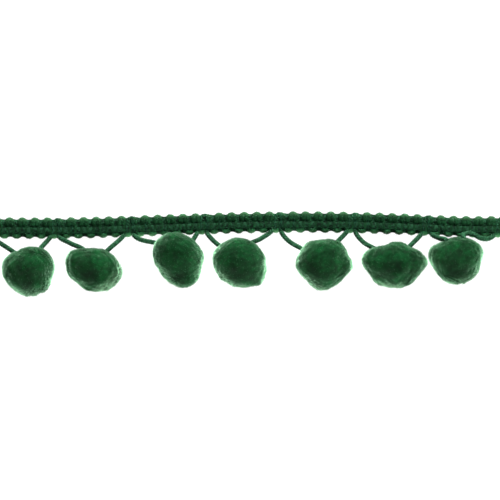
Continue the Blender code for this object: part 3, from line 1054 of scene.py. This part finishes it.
def painted_shade_places(pompom, directions):
    """How much painted shade darkens the pile in each direction, from 0 to 1: in patches, on one side.
    """
    nearness = (directions @ unit(np.array(PAINTED_SHADE_SIDE)) - PAINTED_SHADE_FROM) / (PAINTED_SHADE_TO - PAINTED_SHADE_FROM)
    patches = PAINTED_SHADE_MEAN + PAINTED_SHADE_SWING * uneven(PAINTED_SHADE_PATCHES, pompom, directions)
    return np.clip(nearness, 0.0, 1.0) * np.clip(patches, 0.0, 1.0)


def pile_surface(pompom, directions):
    """The top of the pile in each direction, with its dents, tufts, swells and frayed edges."""
    rise = DENT_RISE * uneven(DENTS, pompom, directions)
    rise += TUFT_RISE * uneven(TUFTS, pompom, directions)
    rise += FRAY_RISE * frayed_side(pompom, directions) * uneven(FRAYS, pompom, directions)
    angle = np.arctan2(directions[:, 1], directions[:, 0])
    level = np.hypot(directions[:, 0], directions[:, 1])
    for swell in SWELLS:
        if POMPOMS[swell.pompom - 1] is pompom:
            off = np.angle(np.exp(1j * (angle - math.radians(swell.angle))))
            rise += swell.rise * level**2 * np.exp(-((np.degrees(off) / swell.width) ** 2))
    return pompom_surface(pompom, directions) * (1 + rise)[:, None]


def pile_normals(pompom, directions):
    """The way that the top of the pile faces in each direction."""
    one = unit(np.cross(directions, unit(np.array(ASKEW))))
    other = np.cross(directions, one)
    here = pile_surface(pompom, directions)
    aside = pile_surface(pompom, unit(directions + FACING_STEP * one)) - here
    along = pile_surface(pompom, unit(directions + FACING_STEP * other)) - here
    return unit(np.cross(aside, along))


def pile_body(pompom, ball):
    """The dense pile under the fibres."""
    directions = ball.vertices
    vertices = pompom_centre(pompom) + pile_surface(pompom, directions) * BODY
    lift(vertices, LEAST_BODY)
    fields = {
        # the body sits low on the ramp: painted shade under the fibres
        "outward": np.full(len(directions), BODY_OUTWARD),
        "own": np.full(len(directions), BODY_OWN),
        # paler where frayed, partly painted light
        "frayed": LAID_FRAYED * frayed_and_lit_places(pompom, directions),
        # painted shade on one side
        "painted_shade": painted_shade_places(pompom, directions),
    }
    return Shape(vertices, ball.faces, fields)


# Cut fibres, in arrays with one row for each.
Fibres = namedtuple("Fibres", "directions roots tips stray frayed parting")


def cut_fibres(pompom, random):
    """The fibres all over a pompom."""
    directions = unit(even_directions(FIBRES) + random.normal(scale=FIBRE_SCATTER, size=(FIBRES, 3)))
    surface = pile_surface(pompom, directions)
    parting = np.exp(-((uneven(PARTINGS, pompom, directions) / PARTING_WIDTH) ** 2))
    tip_share = FIBRE_TIP - PARTING_DEPTH * parting
    tip_share += FIBRE_UNEVENNESS * random.uniform(-1.0, 1.0, FIBRES)
    # Frayed, and paler partly as painted light, on the loose side.
    frayed = frayed_and_lit_places(pompom, directions)
    stray = random.uniform(size=FIBRES) < STRAY_SHARE + FRAYED_SHARE * frayed
    tip_share += stray * random.uniform(0.0, STRAY_LENGTH, FIBRES)
    lie = COMBED * uneven_ways(COMBS, pompom, directions) + random.normal(size=(FIBRES, 3))
    lie -= directions * (lie * directions).sum(axis=1, keepdims=True)
    length = FIBRE_LIE * random.uniform(*FIBRE_LIES, FIBRES) * np.where(stray, STRAY_LIE, 1.0)
    centre = pompom_centre(pompom)
    roots = centre + surface * FIBRE_ROOT
    tips = centre + surface * tip_share[:, None] + unit(lie) * length[:, None]
    lift(roots, LEAST_ROOT)
    lift(tips, random.uniform(*LEAST_TIPS, FIBRES))
    return Fibres(directions, roots, tips, stray, frayed, parting)


def clear_of_cords(fibres, routes):
    """The fibres that no cord pushes aside."""
    kept = np.ones(len(fibres.tips), dtype=bool)
    for route in routes:
        axis = route[::CORD_SKIP]
        gaps = np.linalg.norm(fibres.tips[:, None, :] - axis[None, :, :], axis=2).min(axis=1)
        kept &= gaps > CORD_PARTING
    return Fibres(*[values[kept] for values in fibres])


def make_pompom(number, pompom, ball, routes, material):
    """One pompom's pile: its dense body and the fibres over it, lit by the slant of each."""
    random = np.random.default_rng(pompom.spin)
    fibres = clear_of_cords(cut_fibres(pompom, random), routes)
    stray, frayed, count = fibres.stray, fibres.frayed, len(fibres.tips)
    widths = FIBRE_WIDTH * random.uniform(*FIBRE_WIDTHS, count) * np.where(stray, STRAY_WIDTH, 1.0)
    vertices, faces = spikes(fibres.roots, fibres.tips, widths, random)
    # Painted shade in the partings.
    own = random.uniform(*FIBRE_OWN, count) - PARTING_SHADE * fibres.parting
    astray = STRAY_FRAYED + (1 - STRAY_FRAYED) * frayed
    fields = {
        # painted shade towards the roots
        "outward": np.tile(SPIKE_OUTWARD, count),
        "own": np.repeat(own, SPIKE_CORNERS),
        # paler where frayed, partly painted light on the rim
        "frayed": np.repeat(np.where(stray, astray, LAID_FRAYED * frayed), SPIKE_CORNERS),
        # painted shade on one side
        "painted_shade": np.repeat(painted_shade_places(pompom, fibres.directions), SPIKE_CORNERS),
    }
    facing = pile_normals(pompom, fibres.directions)
    slanted = unit(facing + SLANT_UNEVENNESS * random.normal(size=(count, 3)))
    normals = [pile_normals(pompom, ball.vertices), np.repeat(slanted, SPIKE_CORNERS, axis=0)]
    shape = joined([pile_body(pompom, ball), Shape(vertices, [faces], fields)])
    pile = mesh_object(f"pile_{number}", shape, material, normals=np.vstack(normals))
    dress(pile, "cut_pile", f"pompom_{number}")


# ---------------------------------------------------------------- stage


def make_camera():
    data = bpy.data.cameras.new("camera")
    data.sensor_width = SENSOR
    data.lens = SENSOR * (CAMERA_HEIGHT - LOOK_HEIGHT) / FRAME_WIDTH
    data.clip_start = NEAREST_SEEN
    data.clip_end = FARTHEST_SEEN
    camera = bpy.data.objects.new("camera", data)
    camera.location = (LOOK_AT[0] * MM, LOOK_AT[1] * MM, CAMERA_HEIGHT * MM)
    bpy.context.scene.collection.objects.link(camera)
    bpy.context.scene.camera = camera


def make_lamp(lamp):
    data = bpy.data.lights.new(lamp.name, "AREA")
    data.shape = "RECTANGLE"
    data.size = lamp.width
    data.size_y = lamp.height
    data.energy = lamp.power
    obj = bpy.data.objects.new(lamp.name, data)
    obj.location = lamp.place
    bpy.context.scene.collection.objects.link(obj)
    obj.rotation_euler = (-obj.location).to_track_quat("-Z", "Y").to_euler()


def make_world():
    world = bpy.data.worlds.new("soft studio")
    world.use_nodes = True
    background = world.node_tree.nodes["Background"]
    background.inputs["Color"].default_value = WHITE
    background.inputs["Strength"].default_value = WORLD_LIGHT
    bpy.context.scene.world = world


def make_stage():
    corners = [(-1, -1), (1, -1), (1, 1), (-1, 1)]
    vertices = np.array([(x * FLOOR_REACH, y * FLOOR_REACH, -FLOOR_DROP) for x, y in corners])
    floor = mesh_object("floor", Shape(vertices, [np.array([[0, 1, 2, 3]])], {}), floor_material())
    make_world()
    for lamp in LAMPS:
        make_lamp(lamp)
    bpy.context.scene.view_settings.view_transform = "Standard"


# ---------------------------------------------------------------- build

cord_routes = [smooth_route(hairpin_points(i, hairpin), CORD_STEP) for i, hairpin in enumerate(HAIRPINS)]
make_camera()
make_stage()
gimp_lint = lint_material()
make_cords(cord_routes, gimp_lint)
make_weft(gimp_lint)
make_stitches()
make_ties()
make_ground()
pile_ball = fine_ball()
cut_pile = pile_material()
for pompom_number, one in enumerate(POMPOMS, start=1):
    make_pompom(pompom_number, one, pile_ball, cord_routes, cut_pile)
